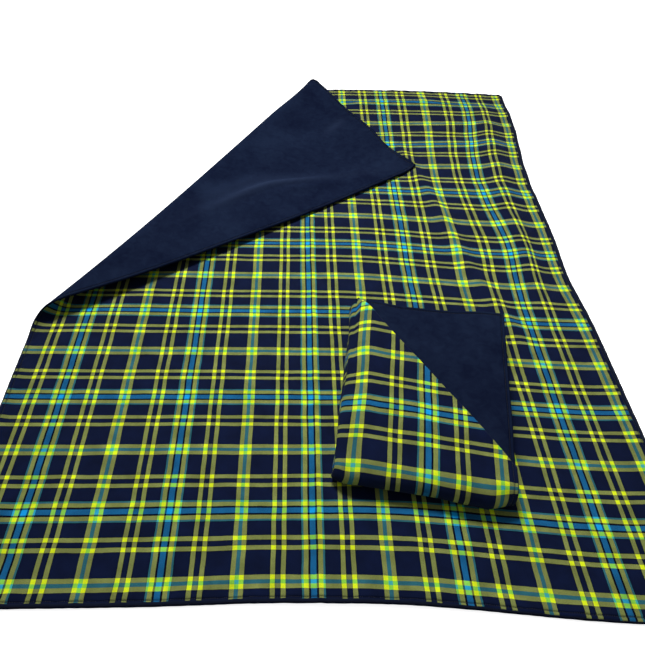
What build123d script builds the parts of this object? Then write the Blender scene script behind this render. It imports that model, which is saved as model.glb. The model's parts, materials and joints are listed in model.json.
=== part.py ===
"""Camp blanket: a plaid flannel face bagged out with a navy fleece backing and topstitched.

The blanket lies open with one far corner rolled over itself.  A second blanket of the same
make, folded into sixteen layers, rests on it.  Millimetres, +Z up.  The origin is the middle
of the open blanket's rectangle, at its underside; -Y is the near edge.
"""

import os
from math import asin, atan2, cos, hypot, pi, radians, sin

from build123d import *

os.makedirs("parts", exist_ok=True)

# ---- driving dimensions: the cloth ----
WIDTH = 1450.0  # along X, one flannel bolt
LENGTH = 2000.0  # along Y
BACKING_T = 3.05  # fleece
FACE_T = 1.65  # flannel
STITCH_INSET = 9.0  # topstitch line, from the edge
STITCH_W = 1.2
STITCH_H = 0.2
SEAM_INSET = 2.0  # hidden lockstitch that joins the two cloths, from the edge
SEAM_W = 1.0
SEAM_H = 0.6
GAP = 0.3  # between surfaces of different bodies

# ---- driving dimensions: the rolled corner ----
FOLD_LEFT = 579.4  # from the near left corner along the left edge to the fold line
FOLD_FAR = 700.2  # from the far left corner along the far edge to the fold line
ROLL_R = 23.0  # at mid thickness of the cloth

# ---- driving dimensions: the folded blanket ----
BUNDLE_X = 242.3  # centre of its flat top
BUNDLE_Y = -526.7
BUNDLE_TURN = -7.0  # degrees about Z
BUNDLE_W = 368.0  # a quarter of the width, plus its rounded folds
BUNDLE_FRONT = -240.0  # where the flat top ends and the front fold begins
BUNDLE_BACK = 235.0
LEAF_H = 20.0  # four layers
PAIR_H = 9.6  # two layers joined by the centre crease
HEM_LEAF_H = 4.8  # one layer
TUCK_H = 2.6  # the corner turned under the cover, pressed flat
TUCK_REACH = 120.0  # how far it reaches under
PIVOT_LIFT = 3.5  # above the fold's middle, so that the opened half lands clear of the hem

# ---- worked out: the cloth ----
CLOTH_T = BACKING_T + FACE_T
HALF_W = WIDTH / 2
HALF_L = LENGTH / 2

# ---- worked out: the fold line, from the left edge to the far edge ----
fold_rise = LENGTH - FOLD_LEFT
fold_length = hypot(FOLD_FAR, fold_rise)
along_x = FOLD_FAR / fold_length
along_y = fold_rise / fold_length
fold_start = Vector(-HALF_W, -HALF_L + FOLD_LEFT, 0)
fold_end = Vector(-HALF_W + FOLD_FAR, HALF_L, 0)
ALONG = Vector(along_x, along_y, 0)
INWARD = Vector(along_y, -along_x, 0)  # from the fold towards the middle of the blanket
UP = Vector(0, 0, 1)
tip_out = fold_rise * along_x  # from the line to the blanket's own corner
tip_along = fold_rise * along_y
left_run = along_y / along_x  # how fast the left edge runs along the line
far_run = along_x / along_y

# ---- worked out: the roll, and the flap that slopes from it to its tip ----
roll_z = CLOTH_T / 2 + ROLL_R
inner_r = ROLL_R - CLOTH_T / 2
outer_r = ROLL_R + CLOTH_T / 2
join_r = outer_r - BACKING_T
tip_z = CLOTH_T + GAP
slope = asin((roll_z + inner_r - tip_z) / (tip_out - pi * ROLL_R))
roll_turn = pi + slope
roll_cloth = ROLL_R * roll_turn
flap_length = tip_out - roll_cloth
flap_low = left_run * roll_cloth
flap_high = fold_length - far_run * roll_cloth
flap_dir = INWARD * cos(slope) - UP * sin(slope)
flap_normal = INWARD * sin(slope) + UP * cos(slope)
flap_middle = fold_start + INWARD * (ROLL_R * sin(slope)) + UP * (roll_z + ROLL_R * cos(slope))


def fold_plane(height):
    """Across the fold: x towards the middle of the blanket, y up, at the fold line's start."""
    return Plane(origin=fold_start + UP * height, x_dir=INWARD, z_dir=-ALONG)


def flap_plane(height):
    """On the flap: x from the fold to the tip, y along the fold, height from mid thickness."""
    return Plane(origin=flap_middle + flap_normal * height, x_dir=flap_dir, z_dir=flap_normal)


def spread_path(inset):
    """The open blanket's free edges, moved in by inset, as points from fold to fold."""
    return [
        (-HALF_W + inset, fold_start.Y + inset * left_run - GAP),
        (-HALF_W + inset, -HALF_L + inset),
        (HALF_W - inset, -HALF_L + inset),
        (HALF_W - inset, HALF_L - inset),
        (fold_end.X - inset * far_run + GAP, HALF_L - inset),
    ]


def corner_path(inset):
    """The flap's two free edges, moved in by inset, in the flap's plane."""
    tip_y = tip_along
    low_angle = atan2(tip_y - flap_low, flap_length)
    high_angle = atan2(flap_high - tip_y, flap_length)
    half_tip = (pi - low_angle - high_angle) / 2
    lean = (low_angle - high_angle) / 2
    reach = inset / sin(half_tip)
    return [
        (SEAM_W, flap_low + SEAM_W * left_run + inset / cos(low_angle)),
        (flap_length - reach * cos(lean), tip_y - reach * sin(lean)),
        (SEAM_W, flap_high - SEAM_W * far_run - inset / cos(high_angle)),
    ]


spread_outline = [
    (fold_start.X, fold_start.Y),
    (-HALF_W, -HALF_L),
    (HALF_W, -HALF_L),
    (HALF_W, HALF_L),
    (fold_end.X, HALF_L),
]
corner_outline = [
    (GAP, flap_low + GAP * left_run),
    (flap_length, tip_along),
    (GAP, flap_high - GAP * far_run),
]

# ---- the open blanket ----
with BuildPart() as spread_backing:
    with BuildSketch(Plane.XY):
        Polygon(*spread_outline, align=None)
    extrude(amount=BACKING_T)

with BuildPart() as spread_edge_seam:
    with BuildSketch(Plane.XY.offset(BACKING_T)):
        with BuildLine():
            Polyline(*spread_path(SEAM_INSET))
        trace(line_width=SEAM_W)
    extrude(amount=SEAM_H)

with BuildPart() as spread_face:
    with BuildSketch(Plane.XY.offset(BACKING_T)):
        Polygon(*spread_outline, align=None)
    extrude(amount=FACE_T)
    with BuildSketch(Plane.XY.offset(BACKING_T)):
        with BuildLine():
            Polyline(*spread_path(SEAM_INSET))
        trace(line_width=SEAM_W)
    extrude(amount=SEAM_H, mode=Mode.SUBTRACT)

with BuildPart() as spread_topstitch:
    with BuildSketch(Plane.XY.offset(CLOTH_T)):
        with BuildLine():
            Polyline(*spread_path(STITCH_INSET))
        trace(line_width=STITCH_W)
    extrude(amount=STITCH_H)


def make_roll(low_r, high_r):
    """One cloth of the roll: a ring about the fold axis, its ends slanting as the edges do.

    It stays inside the open blanket's own rectangle.
    """
    rest_turn = roll_turn - pi
    with BuildPart() as roll:
        with BuildSketch(fold_plane(roll_z)):
            with BuildLine():
                high = ThreePointArc(
                    (0, -high_r), (-high_r, 0), (high_r * sin(rest_turn), high_r * cos(rest_turn))
                )
                low = ThreePointArc(
                    (0, -low_r), (-low_r, 0), (low_r * sin(rest_turn), low_r * cos(rest_turn))
                )
                Line(high @ 1, low @ 1)
                Line(high @ 0, low @ 0)
            make_face()
        extrude(amount=-fold_length)
        side = Plane(origin=fold_start - INWARD * outer_r * 2, x_dir=ALONG, z_dir=INWARD)
        with BuildSketch(side):
            Polygon(
                (0, 0),
                (fold_length, 0),
                (flap_high, roll_z + outer_r),
                (flap_low, roll_z + outer_r),
                align=None,
            )
        extrude(amount=outer_r * 4, mode=Mode.INTERSECT)
        with BuildSketch(Plane.XY):
            Rectangle(WIDTH, LENGTH)
        extrude(amount=roll_z + outer_r, mode=Mode.INTERSECT)
    return roll.part


fold_backing = make_roll(join_r, outer_r)
fold_face = make_roll(inner_r, join_r)

# ---- the turned corner: its backing is uppermost ----
with BuildPart() as corner_backing:
    with BuildSketch(flap_plane(CLOTH_T / 2 - BACKING_T)):
        Polygon(*corner_outline, align=None)
    extrude(amount=BACKING_T)

with BuildPart() as corner_edge_seam:
    with BuildSketch(flap_plane(CLOTH_T / 2 - BACKING_T - SEAM_H)):
        with BuildLine():
            Polyline(*corner_path(SEAM_INSET))
        trace(line_width=SEAM_W)
    extrude(amount=SEAM_H)

with BuildPart() as corner_face:
    with BuildSketch(flap_plane(-CLOTH_T / 2)):
        Polygon(*corner_outline, align=None)
    extrude(amount=FACE_T)
    with BuildSketch(flap_plane(CLOTH_T / 2 - BACKING_T - SEAM_H)):
        with BuildLine():
            Polyline(*corner_path(SEAM_INSET))
        trace(line_width=SEAM_W)
    extrude(amount=SEAM_H, mode=Mode.SUBTRACT)

with BuildPart() as corner_topstitch:
    with BuildSketch(flap_plane(CLOTH_T / 2)):
        with BuildLine():
            Polyline(*corner_path(STITCH_INSET))
        trace(line_width=STITCH_W)
    extrude(amount=STITCH_H)

# ---- the folded blanket: its own axes ----
turn = radians(BUNDLE_TURN)
ACROSS = Vector(cos(turn), sin(turn), 0)
BACKWARD = Vector(-sin(turn), cos(turn), 0)
bundle_centre = Vector(BUNDLE_X, BUNDLE_Y, 0)
half_bundle = BUNDLE_W / 2
bundle_z = CLOTH_T + GAP
hinge_z = bundle_z + 2 * LEAF_H
top_z = bundle_z + 4 * LEAF_H
pair_z = hinge_z + LEAF_H
hem_z = pair_z + PAIR_H
tuck_z = hem_z + HEM_LEAF_H
cover_z = tuck_z + TUCK_H
leaf_front = BUNDLE_FRONT + GAP  # clear of the hinge, so that the opened half meets nothing
leaf_back = BUNDLE_BACK - LEAF_H


def end_plane(back):
    """Across the bundle at its back: x to the right, y up; it is extruded towards the front."""
    return Plane(origin=bundle_centre + BACKWARD * back, x_dir=ACROSS, z_dir=-BACKWARD)


def side_plane(half_width):
    """Along the bundle at its left side: x to the back, y up; extruded towards the right."""
    return Plane(origin=bundle_centre - ACROSS * half_width, x_dir=BACKWARD, z_dir=ACROSS)


def top_plane(height):
    return Plane(origin=bundle_centre + UP * height, x_dir=ACROSS, z_dir=UP)


def make_leaf(low, high, back, both_round):
    """Layers of the bundle with a rounded fold on the left, and on the right where both are."""
    radius = (high - low) / 2
    with BuildPart() as leaf:
        with BuildSketch(end_plane(back)):
            with BuildLine():
                left_low = (-half_bundle + radius, low)
                left_high = (-half_bundle + radius, high)
                ThreePointArc(left_low, (-half_bundle, low + radius), left_high)
                if both_round:
                    right_low = (half_bundle - radius, low)
                    right_high = (half_bundle - radius, high)
                    ThreePointArc(right_low, (half_bundle, low + radius), right_high)
                else:
                    right_low = (half_bundle, low)
                    right_high = (half_bundle, high)
                    Line(right_low, right_high)
                Line(left_low, right_low)
                Line(left_high, right_high)
            make_face()
        extrude(amount=back - leaf_front)
    return leaf.part


def make_bend(low_r, high_r, centre_y, centre_z, outward):
    """Half a ring across the bundle's width: the front fold, or the fold at the back."""
    with BuildPart() as bend:
        with BuildSketch(side_plane(half_bundle - 1)):
            with BuildLine():
                outer = ThreePointArc(
                    (centre_y, centre_z - high_r),
                    (centre_y + outward * high_r, centre_z),
                    (centre_y, centre_z + high_r),
                )
                if low_r > 0:
                    inner = ThreePointArc(
                        (centre_y, centre_z - low_r),
                        (centre_y + outward * low_r, centre_z),
                        (centre_y, centre_z + low_r),
                    )
                    Line(outer @ 0, inner @ 0)
                    Line(outer @ 1, inner @ 1)
                else:
                    Line(outer @ 0, outer @ 1)
            make_face()
        extrude(amount=2 * half_bundle - 2)
    return bend.part


folded_outer_leaf = make_leaf(bundle_z, bundle_z + LEAF_H, leaf_back, True)
folded_inner_leaf = make_leaf(bundle_z + LEAF_H, hinge_z - GAP, leaf_back, True)
folded_back_fold = make_bend(0, LEAF_H - GAP, leaf_back, bundle_z + LEAF_H, 1)
folded_front_outer = make_bend(LEAF_H, 2 * LEAF_H, BUNDLE_FRONT - GAP, hinge_z, -1)
folded_front_inner = make_bend(0, LEAF_H, BUNDLE_FRONT - GAP, hinge_z, -1)
upper_inner_leaf = make_leaf(hinge_z, pair_z, BUNDLE_BACK - 4, False)
upper_crease_leaf = make_leaf(pair_z, hem_z, BUNDLE_BACK - 2, True)

with BuildPart() as upper_hem_leaf:
    with BuildSketch(top_plane(hem_z)):
        Polygon(
            (-half_bundle, leaf_front),
            (half_bundle, leaf_front),
            (half_bundle, BUNDLE_BACK),
            (-half_bundle, BUNDLE_BACK),
            align=None,
        )
    extrude(amount=HEM_LEAF_H)

# the cover's diagonal fold runs from the back left to the front right of the top
diagonal = Vector(BUNDLE_W, leaf_front - BUNDLE_BACK, 0).normalized()
under = Vector(diagonal.Y, -diagonal.X, 0)  # from the diagonal towards the front left
diagonal_top = Vector(-half_bundle, BUNDLE_BACK, 0)
diagonal_foot = Vector(half_bundle, leaf_front, 0)
tuck_skew = TUCK_REACH * 0.9

with BuildPart() as upper_tucked_corner:
    with BuildSketch(top_plane(tuck_z)):
        tuck_a = diagonal_top + diagonal * tuck_skew + under * (TUCK_REACH * 0.6)
        tuck_b = diagonal_foot - diagonal * (tuck_skew * 1.6) + under * TUCK_REACH
        Polygon(
            (diagonal_top.X, diagonal_top.Y),
            (tuck_a.X, tuck_a.Y),
            (tuck_b.X, tuck_b.Y),
            (diagonal_foot.X, diagonal_foot.Y),
            align=None,
        )
    extrude(amount=TUCK_H)

with BuildPart() as upper_cover:
    with BuildSketch(top_plane(cover_z)):
        Polygon(
            (-half_bundle, leaf_front),
            (diagonal_foot.X, diagonal_foot.Y),
            (diagonal_top.X, diagonal_top.Y),
            align=None,
        )
    extrude(amount=top_z - cover_z)

with BuildPart() as upper_topstitch:
    with BuildSketch(top_plane(tuck_z)):
        with BuildLine():
            Polyline(
                (-half_bundle + 4 * STITCH_INSET, BUNDLE_BACK - STITCH_INSET),
                (half_bundle - STITCH_INSET, BUNDLE_BACK - STITCH_INSET),
                (half_bundle - STITCH_INSET, BUNDLE_FRONT + 4 * STITCH_INSET),
            )
        trace(line_width=STITCH_W)
    extrude(amount=STITCH_H)

# ---- the pieces, one file each ----
pieces = {
    "spread_backing": spread_backing.part,
    "spread_face": spread_face.part,
    "spread_edge_seam": spread_edge_seam.part,
    "spread_topstitch": spread_topstitch.part,
    "fold_backing": fold_backing,
    "fold_face": fold_face,
    "corner_backing": corner_backing.part,
    "corner_face": corner_face.part,
    "corner_edge_seam": corner_edge_seam.part,
    "corner_topstitch": corner_topstitch.part,
    "folded_outer_leaf": folded_outer_leaf,
    "folded_inner_leaf": folded_inner_leaf,
    "folded_back_fold": folded_back_fold,
    "folded_front_outer": folded_front_outer,
    "folded_front_inner": folded_front_inner,
    "upper_inner_leaf": upper_inner_leaf,
    "upper_crease_leaf": upper_crease_leaf,
    "upper_hem_leaf": upper_hem_leaf.part,
    "upper_tucked_corner": upper_tucked_corner.part,
    "upper_cover": upper_cover.part,
    "upper_topstitch": upper_topstitch.part,
}
for name, piece in pieces.items():
    piece.label = name
    export_step(piece, f"parts/{name}.step")

# ---- the joint axes that the record states, printed for reference ----
flap_start = complex(ROLL_R * sin(slope), roll_z + ROLL_R * cos(slope))
flat_start = complex(-roll_cloth, CLOTH_T / 2)
turned = complex(cos(roll_turn), sin(roll_turn))
pivot = (flat_start - turned * flap_start) / (1 - turned)
corner_pivot = fold_start + ALONG * tip_along + INWARD * pivot.real + UP * pivot.imag
bundle_pivot = bundle_centre + BACKWARD * BUNDLE_FRONT + UP * (hinge_z + PIVOT_LIFT)
print("corner hinge at", corner_pivot, "axis", -ALONG, "opens", round(roll_turn * 180 / pi, 2))
print("bundle hinge at", bundle_pivot, "axis", ACROSS)
print("flap slope", round(slope * 180 / pi, 3), "length", round(flap_length, 2))
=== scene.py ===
"""Camp blanket: the looks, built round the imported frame.

Metres, in the frame's own axes.  Each blanket is two sheets of cloth, a plaid flannel face and
a fleece backing, laid out flat first and then folded by formula, so that the plaid follows the
cloth.  Flat coordinates run as the open blanket lies: x across, y away.
"""

import json
import math

import bmesh
import bpy
import numpy as np
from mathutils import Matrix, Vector


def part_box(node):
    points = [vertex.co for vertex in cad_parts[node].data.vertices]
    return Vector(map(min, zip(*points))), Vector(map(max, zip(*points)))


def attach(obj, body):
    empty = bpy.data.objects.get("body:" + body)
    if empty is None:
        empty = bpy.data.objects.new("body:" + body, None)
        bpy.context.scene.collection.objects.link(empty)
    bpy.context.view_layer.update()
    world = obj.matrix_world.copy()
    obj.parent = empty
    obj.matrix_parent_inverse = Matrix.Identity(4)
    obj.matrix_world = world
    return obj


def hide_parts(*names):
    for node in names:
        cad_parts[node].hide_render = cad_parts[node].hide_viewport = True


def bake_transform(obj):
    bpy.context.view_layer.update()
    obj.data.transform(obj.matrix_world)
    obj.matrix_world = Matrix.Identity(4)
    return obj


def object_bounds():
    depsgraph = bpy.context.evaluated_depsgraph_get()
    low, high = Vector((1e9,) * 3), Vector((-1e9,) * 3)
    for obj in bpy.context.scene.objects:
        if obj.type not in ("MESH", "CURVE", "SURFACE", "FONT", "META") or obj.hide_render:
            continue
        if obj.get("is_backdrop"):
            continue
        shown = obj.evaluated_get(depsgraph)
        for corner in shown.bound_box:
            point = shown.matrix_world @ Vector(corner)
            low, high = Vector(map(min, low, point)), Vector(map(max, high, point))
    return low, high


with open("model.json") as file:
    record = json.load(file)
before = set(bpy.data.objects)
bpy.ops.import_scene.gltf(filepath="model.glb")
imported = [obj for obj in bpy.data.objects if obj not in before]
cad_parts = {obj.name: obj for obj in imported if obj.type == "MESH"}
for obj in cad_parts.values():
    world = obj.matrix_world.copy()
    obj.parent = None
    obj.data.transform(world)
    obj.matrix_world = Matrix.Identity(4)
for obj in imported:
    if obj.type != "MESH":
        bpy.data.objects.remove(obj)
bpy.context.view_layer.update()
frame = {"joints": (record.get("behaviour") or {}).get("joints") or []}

# ---- the cloth, as the frame has it ----
spread_low, spread_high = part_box("spread_backing")
HALF_W = (spread_high.x - spread_low.x) / 2
HALF_L = (spread_high.y - spread_low.y) / 2
BACKING_T = spread_high.z - spread_low.z
CLOTH_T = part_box("spread_face")[1].z
MIDDLE = CLOTH_T / 2
INTERFACE = BACKING_T - MIDDLE
STITCH_INSET = 0.009
RIM_R = 0.0025  # the turned edge's own rounding
CORNER_R = 0.012
RIM = 0.0024  # how far the fleece's hem stands out past the flannel's
PUFF_AT = 0.0045  # the hem swells this far from the edge
PUFF_WIDTH = 0.003

# ---- the rolled corner ----
joints = {joint["name"]: joint for joint in frame["joints"]}
ALONG = -np.array(joints["corner_fold"]["axis"], float)
INWARD = np.array([ALONG[1], -ALONG[0], 0.0])
UP = np.array([0.0, 0.0, 1.0])
FOLD_LEFT = 0.5794  # where the fold line meets the left hem, from the near one
FOLD_FAR = 0.7002  # where it meets the far hem, from the left one
FOLD_START = np.array([-HALF_W, -HALF_L + FOLD_LEFT, 0.0])
LEFT_BEYOND = 2 * HALF_L - FOLD_LEFT  # length of the left hem that is turned over
FOLD_LENGTH = math.hypot(LEFT_BEYOND, FOLD_FAR)
TIP_BACK = 0.040  # how far the tip is drawn back along the fold
TIP_ALONG = LEFT_BEYOND * ALONG[1] - TIP_BACK
TIP_INWARD = 0.537  # where the turned corner's tip comes to lie
ROLL_CLOTH = 0.12  # length of cloth that takes the bend
ROLL_LEAD = 0.022  # how much of it lies before the fold line
SAG_TURN = math.radians(6.5)  # how far the flap turns back as it sags
CURVE_FROM = 0.1  # how far inside the fold line the bend's curve begins
CURVE_TO = 0.66  # and how far beyond it the curve ends, past the tip
SPLIT = 0.07  # the turned corner's own cloth begins this far inside the fold line

# ---- the plaid's sett, the same along both ways ----
REPEAT = 0.28684
PHASE_X = 0.0825  # in repeats, from the middle of the blanket to that of a blue group
PHASE_Y = 2.8565
SETT = [  # share of a repeat from the middle of the blue group, and the yarn from there on
    (0.0, "azure"),
    (0.018, "black"),
    (0.0315, "lime"),
    (0.0630, "teal"),
    (0.0775, "black"),
    (0.0810, "navy"),
    (0.1785, "black"),
    (0.1820, "lime"),
    (0.2135, "black"),
    (0.2180, "navy"),
    (0.2490, "black"),
    (0.2535, "lime"),
    (0.2845, "black"),
    (0.2880, "navy"),
    (0.4515, "black"),
    (0.4550, "lime"),
    (0.4850, "teal"),
]
YARNS = {  # as a screen shows them
    "azure": (0.11, 0.64, 0.95),
    "teal": (0.27, 0.69, 0.70),
    "black": (0.02, 0.045, 0.06),
    "lime": (0.90, 0.97, 0.16),
    "navy": (0.072, 0.108, 0.214),
}
LIME_ON_BLUE = (0.50, 0.86, 0.24, 1)
TWILL_PITCH = 0.0022
THREAD_PITCH = 0.0011

# ---- the other colours, which are linear, and the shading of the hems ----
HEM_SHADOW = (0.002, 0.003, 0.008, 1)
GROOVE_SHADE = 0.0028  # half width of the shade along the topstitch
RIM_SHADE = 0.0030  # and the width of that along the edge
HEM_MARKED = 0.05  # the distance to the hem is stored up to this one
ROLLED_BAND = (0.0065, 0.0105, 0.0290, 1)
BAND_FADE = 0.0008
FLEECE_DARK = (0.0054, 0.0088, 0.0260, 1)
FLEECE_LIGHT = (0.0110, 0.0188, 0.0455, 1)
# painted highlight along the turned corner's ridges, lighter where light would catch the fleece
FLEECE_CREST_HIGHLIGHT = (0.0210, 0.0330, 0.0720, 1)
THREAD_DARK = (0.004, 0.006, 0.016, 1)
THREAD_LIGHT = (0.010, 0.015, 0.036, 1)
FLOOR_DARK = (0.93, 0.93, 0.93, 1)
FLOOR_LIGHT = (0.95, 0.95, 0.95, 1)


# ---------------------------------------------------------------- materials
class Nodes:
    """A short way to write a material's nodes."""

    def __init__(self, name):
        self.material = bpy.data.materials.new(name)
        self.material.use_nodes = True
        self.tree = self.material.node_tree
        self.shader = self.tree.nodes["Principled BSDF"]

    def add(self, kind, inputs=None, **settings):
        node = self.tree.nodes.new(kind)
        for key, value in settings.items():
            setattr(node, key, value)
        for key, value in (inputs or {}).items():
            self.put(node.inputs[key], value)
        return node

    def put(self, socket, value):
        if isinstance(value, bpy.types.NodeSocket):
            self.tree.links.new(value, socket)
        else:
            socket.default_value = value

    def math(self, operation, a, b=0.0, c=0.0):
        node = self.add("ShaderNodeMath", operation=operation)
        for socket, value in zip(node.inputs, (a, b, c)):
            self.put(socket, value)
        return node.outputs[0]

    def mix(self, factor, a, b, blend="MIX"):
        node = self.add("ShaderNodeMix", data_type="RGBA", blend_type=blend)
        self.put(node.inputs[0], factor)
        self.put(node.inputs[6], a)
        self.put(node.inputs[7], b)
        return node.outputs[2]

    def bump(self, height, strength, distance):
        inputs = {"Strength": strength, "Distance": distance, "Height": height}
        bump = self.add("ShaderNodeBump", inputs)
        self.put(self.shader.inputs["Normal"], bump.outputs[0])


def yarn_ramp(nodes, across):
    """The yarn's colour at a distance across the sett, from 0 to half a repeat."""
    ramp = nodes.add("ShaderNodeValToRGB")
    ramp.color_ramp.interpolation = "CONSTANT"
    points = ramp.color_ramp.elements
    while len(points) < len(SETT):
        points.new(0.5)
    for point, (place, yarn) in zip(points, SETT):
        point.position = place * 2
        point.color = (*YARNS[yarn], 1)
    nodes.put(ramp.inputs[0], nodes.math("MULTIPLY", across, 2.0))
    return ramp.outputs[0]


def attribute(nodes, name):
    return nodes.add("ShaderNodeAttribute", attribute_name=name).outputs["Fac"]


def noise(nodes, place, scale, detail, **more):
    """The grey value of a noise at a place on the cloth."""
    inputs = {"Vector": place, "Scale": scale, "Detail": detail, **more}
    return nodes.add("ShaderNodeTexNoise", inputs).outputs["Fac"]


def fading(nodes, distance, reach):
    """1 at no distance, falling to 0 at reach."""
    share = nodes.math("MINIMUM", nodes.math("DIVIDE", distance, reach), 1.0)
    return nodes.math("SUBTRACT", 1.0, share)


def hem_shade(nodes, colour, depth):
    """Darkens the groove that the topstitch pulls into the cloth, and the turned rim."""
    hem = attribute(nodes, "hem")
    off = nodes.math("ABSOLUTE", nodes.math("SUBTRACT", hem, STITCH_INSET))
    groove = fading(nodes, off, GROOVE_SHADE)
    rim = fading(nodes, hem, RIM_SHADE)
    dark = nodes.math("MULTIPLY", nodes.math("MAXIMUM", groove, rim), depth)
    return nodes.mix(dark, colour, HEM_SHADOW)


def is_strong(nodes, colour, channel):
    """1 where a channel of the yarn's colour, 0 for red or 2 for blue, is over a half."""
    parts = nodes.add("ShaderNodeSeparateColor", {0: colour})
    return nodes.math("GREATER_THAN", parts.outputs[channel], 0.5)


def across_sett(nodes, distance, phase):
    """A distance over the cloth as one across the sett, which mirrors at its middle."""
    repeats = nodes.math("ADD", nodes.math("DIVIDE", distance, REPEAT), phase)
    return nodes.math("PINGPONG", repeats, 0.5)


def thread_wave(nodes, distance, pitch):
    return nodes.math("SINE", nodes.math("MULTIPLY", distance, 2 * math.pi / pitch))


def woven_colour(nodes, place, twill):
    """The plaid's colour at a place on the cloth."""
    parts = nodes.add("ShaderNodeSeparateXYZ", {0: place})
    warp = yarn_ramp(nodes, across_sett(nodes, parts.outputs[0], PHASE_X))
    weft = yarn_ramp(nodes, across_sett(nodes, parts.outputs[1], PHASE_Y))
    # lime floats show more than the blues that they cross
    warp_lime = is_strong(nodes, warp, 0)
    weft_lime = is_strong(nodes, weft, 0)
    warp_blue = is_strong(nodes, warp, 2)
    weft_blue = is_strong(nodes, weft, 2)
    to_weft = nodes.math("MULTIPLY", weft_lime, warp_blue)
    to_warp = nodes.math("MULTIPLY", warp_lime, weft_blue)
    towards = nodes.math("SUBTRACT", to_weft, to_warp)
    share = nodes.math("MULTIPLY_ADD", twill, 0.16, 0.5)
    share = nodes.math("MULTIPLY_ADD", towards, 0.14, share)
    woven = nodes.mix(share, warp, weft)
    # where two colours meet, the brushed fibres mix to a greyer one
    apart = nodes.add("ShaderNodeVectorMath", {0: warp, 1: weft}, operation="DISTANCE")
    apart = nodes.math("MULTIPLY", apart.outputs["Value"], 0.12)
    grey = nodes.add("ShaderNodeRGBToBW", {"Color": woven}).outputs[0]
    mixed = nodes.math("ABSOLUTE", towards)
    one_lime = nodes.math("ABSOLUTE", nodes.math("SUBTRACT", warp_lime, weft_lime))
    on_navy = nodes.math("MULTIPLY", one_lime, nodes.math("SUBTRACT", 1.0, mixed))
    woven = nodes.mix(nodes.math("MULTIPLY_ADD", on_navy, 0.22, apart), woven, grey)
    return nodes.mix(nodes.math("MULTIPLY", mixed, 0.6), woven, LIME_ON_BLUE)


def plaid_flannel():
    nodes = Nodes("plaid_flannel")
    flat = nodes.add("ShaderNodeUVMap", uv_map="flat").outputs[0]
    # the stripes aren't quite straight
    wobble = nodes.add("ShaderNodeTexNoise", {"Vector": flat, "Scale": 14.0, "Detail": 2.0})
    middle = {0: wobble.outputs["Color"], 1: (0.5, 0.5, 0.5)}
    aside = nodes.add("ShaderNodeVectorMath", middle, operation="SUBTRACT").outputs[0]
    small = {0: aside, "Scale": 0.004}
    small = nodes.add("ShaderNodeVectorMath", small, operation="SCALE").outputs[0]
    place = nodes.add("ShaderNodeVectorMath", {0: flat, 1: small}, operation="ADD").outputs[0]
    # two-over-two twill: diagonal floats, softened by the brushed nap
    threads = nodes.add("ShaderNodeSeparateXYZ", {0: flat})
    diagonal = nodes.math("ADD", threads.outputs[0], threads.outputs[1])
    twill = thread_wave(nodes, diagonal, TWILL_PITCH)
    ribs = thread_wave(nodes, threads.outputs[0], THREAD_PITCH)
    picks = thread_wave(nodes, threads.outputs[1], THREAD_PITCH)
    woven = woven_colour(nodes, place, twill)
    nap = noise(nodes, flat, 900.0, 3.0)
    uneven = nodes.math("MULTIPLY_ADD", noise(nodes, flat, 26.0, 4.0), 0.50, 0.49)
    fleck = nodes.math("MULTIPLY_ADD", nap, 0.5, uneven)
    flecks = nodes.add("ShaderNodeCombineColor", {0: fleck, 1: fleck, 2: fleck}).outputs[0]
    flecked = nodes.mix(1.0, woven, flecks, "MULTIPLY")
    # from colours as a screen shows them to the linear ones that the shader takes
    colour = nodes.add("ShaderNodeGamma", {"Color": flecked, "Gamma": 2.2}).outputs[0]
    # the fleece rolls over the flannel's edge as a plain band
    rolled = nodes.math("DIVIDE", attribute(nodes, "rolled"), BAND_FADE)
    band = nodes.math("MINIMUM", nodes.math("MAXIMUM", rolled, 0.0), 1.0)
    banded = nodes.mix(band, colour, ROLLED_BAND)
    nodes.put(nodes.shader.inputs["Base Color"], hem_shade(nodes, banded, 0.5))
    nodes.shader.inputs["Roughness"].default_value = 0.9
    nodes.shader.inputs["Specular IOR Level"].default_value = 0.08
    nodes.shader.inputs["Sheen Weight"].default_value = 0.02
    nodes.shader.inputs["Sheen Roughness"].default_value = 0.5
    straight = nodes.math("MULTIPLY", nodes.math("ADD", ribs, picks), 0.3)
    relief = nodes.math("ADD", nodes.math("MULTIPLY", twill, 0.6), straight)
    height = nodes.math("MULTIPLY_ADD", nap, 2.0, relief)
    nodes.bump(height, 0.35, 0.0003)
    return nodes.material


def navy_fleece():
    nodes = Nodes("navy_fleece")
    flat = nodes.add("ShaderNodeUVMap", uv_map="flat").outputs[0]
    pile = noise(nodes, flat, 420.0, 4.0, Roughness=0.65)
    brushed = noise(nodes, flat, 5.0, 4.0, Distortion=0.6)
    strokes = noise(nodes, flat, 45.0, 4.0, Distortion=1.0)
    patches = nodes.math("MULTIPLY_ADD", brushed, 2.6, -1.75)
    patches = nodes.math("MULTIPLY_ADD", strokes, 1.3, patches)
    amount = nodes.math("MULTIPLY_ADD", pile, 0.6, patches)
    colour = nodes.mix(amount, FLEECE_DARK, FLEECE_LIGHT)
    # a painted highlight along the turned corner's ridges, stored in the crest attribute
    colour = nodes.mix(attribute(nodes, "crest"), colour, FLEECE_CREST_HIGHLIGHT)
    nodes.put(nodes.shader.inputs["Base Color"], hem_shade(nodes, colour, 0.8))
    nodes.shader.inputs["Roughness"].default_value = 0.95
    nodes.shader.inputs["Specular IOR Level"].default_value = 0.0
    nodes.bump(pile, 0.6, 0.0006)
    return nodes.material


def navy_thread():
    nodes = Nodes("navy_thread")
    place = nodes.add("ShaderNodeTexCoord").outputs["Object"]
    twist = noise(nodes, place, 2500.0, 2.0)
    colour = nodes.mix(twist, THREAD_DARK, THREAD_LIGHT)
    nodes.put(nodes.shader.inputs["Base Color"], colour)
    nodes.shader.inputs["Roughness"].default_value = 0.6
    nodes.bump(twist, 0.4, 0.0002)
    return nodes.material


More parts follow.
